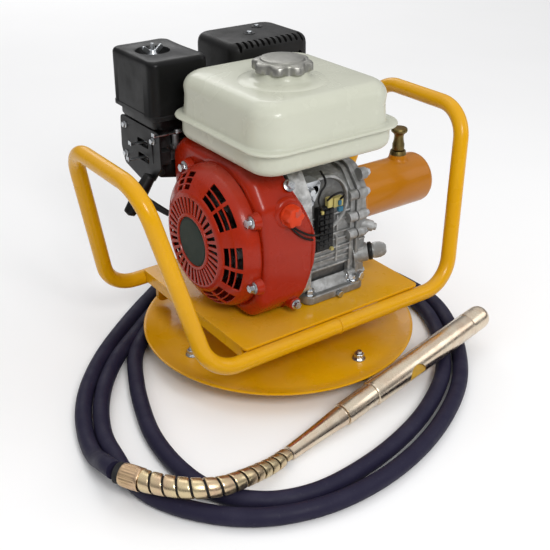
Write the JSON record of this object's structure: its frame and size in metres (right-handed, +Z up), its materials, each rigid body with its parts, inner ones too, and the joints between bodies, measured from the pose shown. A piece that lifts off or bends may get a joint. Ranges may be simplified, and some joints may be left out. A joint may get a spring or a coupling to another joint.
{
  "type": "concrete vibrator",
  "caption": "Petrol engine concrete vibrator in a tubular swivel frame on a round base, with a flexible shaft hose and steel poker",
  "frame": {"origin": "centre of the flat underside of the round base disc, where the rubber feet are bolted on", "axes": "+Z up; +X along the crankshaft from the recoil starter to the shaft coupling; +Y from the near rail to the cylinder head"},
  "size_m": [0.6416, 0.617, 0.4366],
  "materials": {
    "yellow_paint": "gloss yellow enamel",
    "red_paint": "gloss red enamel",
    "cream_paint": "gloss cream enamel",
    "black_plastic": "satin black",
    "black_paint": "heat-proof satin black",
    "cast_aluminium": "die cast, grey",
    "zinc_steel": "zinc plated",
    "bare_steel": "machined",
    "bronze": "dull bronze",
    "yellow_passivated": "yellow passivated zinc on turned steel",
    "hose_rubber": "smooth dark blue-black rubber",
    "foot_rubber": "moulded black rubber",
    "plain_disc": "plain dark green-black",
    "filter_foam": "oiled foam and paper"
  },
  "bodies": {
    "base": {"base_disc": "yellow_paint", "foot_left": "foot_rubber", "foot_front": "foot_rubber", "foot_right": "foot_rubber", "foot_rear": "foot_rubber", "swivel_post": "bare_steel", "hose": "hose_rubber", "hose_connector": "yellow_passivated", "ferrule": "yellow_passivated", "spiral_guard": "yellow_passivated", "poker_shank": "yellow_passivated", "poker_tube": "yellow_passivated", "poker_cap": "yellow_passivated", "rotor_bearing": "bare_steel"},
    "frame": {"frame_left_half": "yellow_paint", "frame_right_half": "yellow_paint", "mounting_plate": "yellow_paint", "swivel_housing": "yellow_paint", "swivel_bushing": "bronze", "support_leg": "yellow_paint", "crankcase": "cast_aluminium", "crankcase_cover": "cast_aluminium", "cylinder": "cast_aluminium", "cylinder_head": "cast_aluminium", "valve_cover": "cast_aluminium", "piston": "bare_steel", "blower_cover": "red_paint", "recoil_housing": "red_paint", "starter_centre_disc": "plain_disc", "fuel_tank": "cream_paint", "air_cleaner_base": "black_plastic", "air_cleaner_cover": "black_plastic", "air_filter": "filter_foam", "carburettor": "cast_aluminium", "muffler": "bare_steel", "muffler_guard": "black_paint", "oil_alert_box": "black_plastic", "ignition_coil": "black_plastic", "spark_plug": "black_plastic", "coupling_housing": "yellow_paint", "coupling_bearing": "bare_steel"},
    "crank": {"crankshaft": "bare_steel", "flywheel": "cast_aluminium", "starter_cup": "bare_steel", "drive_dog": "bare_steel"},
    "cam": {"camshaft": "bare_steel"},
    "pulley": {"recoil_pulley": "black_plastic"},
    "pull": {"pull_handle": "black_plastic"},
    "cap": {"filler_cap": "zinc_steel"},
    "nut": {"wing_nut": "zinc_steel"},
    "oil_plug": {"dipstick": "zinc_steel"},
    "stop_switch": {"stop_switch_knob": "red_paint"},
    "choke": {"choke_lever": "zinc_steel"},
    "fuel": {"fuel_lever": "zinc_steel"},
    "throttle": {"throttle_lever": "zinc_steel"},
    "lock": {"lock_pin": "bronze", "lock_spring": "bare_steel"},
    "rotor": {"eccentric_rotor": "bare_steel"}
  },
  "joints": [
    {"name": "frame_swivel", "type": "hinge", "parent": "base", "child": "frame", "pos_m": [0, 0, 0.05], "axis": [0, 0, 1], "continuous": true},
    {"name": "crank_spin", "type": "hinge", "parent": "frame", "child": "crank", "pos_m": [0, -0.018, 0.1826], "axis": [1, 0, 0], "continuous": true},
    {"name": "cam_spin", "type": "hinge", "parent": "frame", "child": "cam", "pos_m": [0, -0.018, 0.1326], "axis": [1, 0, 0], "continuous": true},
    {"name": "starter_pull", "type": "slide", "parent": "frame", "child": "pull", "axis": [0, 1, 0], "range_m": [0, 0.45]},
    {"name": "pulley_turn", "type": "hinge", "parent": "frame", "child": "pulley", "pos_m": [-0.136, -0.018, 0.1826], "axis": [1, 0, 0], "range_deg": [0, 680]},
    {"name": "cap_turn", "type": "hinge", "parent": "frame", "child": "cap", "pos_m": [-0.023, -0.04, 0.4], "axis": [0, 0, 1], "range_deg": [0, 90]},
    {"name": "wing_nut_turn", "type": "hinge", "parent": "frame", "child": "nut", "pos_m": [-0.099, 0.158, 0.39], "axis": [0, 0, 1], "continuous": true},
    {"name": "oil_plug_turn", "type": "hinge", "parent": "frame", "child": "oil_plug", "pos_m": [0.095, -0.086, 0.1251], "axis": [0.8242, -0.5494, 0.1374], "continuous": true},
    {"name": "stop_switch_turn", "type": "hinge", "parent": "frame", "child": "stop_switch", "pos_m": [-0.063, -0.12, 0.2326], "axis": [0, -1, 0], "range_deg": [0, 60]},
    {"name": "choke_swing", "type": "hinge", "parent": "frame", "child": "choke", "pos_m": [-0.12, 0.15, 0.266], "axis": [0, 0, 1], "range_deg": [0, 45]},
    {"name": "fuel_swing", "type": "hinge", "parent": "frame", "child": "fuel", "pos_m": [-0.12, 0.15, 0.244], "axis": [0, 0, 1], "range_deg": [0, 45]},
    {"name": "throttle_swing", "type": "hinge", "parent": "frame", "child": "throttle", "pos_m": [-0.1, 0.0985, 0.29], "axis": [0, 0, 1], "range_deg": [0, 35]},
    {"name": "lock_pin_lift", "type": "slide", "parent": "frame", "child": "lock", "axis": [0, 0, 1], "range_m": [0, 0.007], "stiffness_N_per_m": 1200, "springref_m": -0.004, "deforming": ["lock_spring"]},
    {"name": "rotor_spin", "type": "hinge", "parent": "base", "child": "rotor", "pos_m": [-0.158, -0.243, -0.0162], "axis": [0.9862, 0.1312, 0.1014], "continuous": true}
  ],
  "couplings": [
    {"joint": "cam_spin", "follows": "crank_spin", "ratio": -0.5},
    {"joint": "pulley_turn", "follows": "starter_pull", "rad_per_m": 26.3}
  ]
}
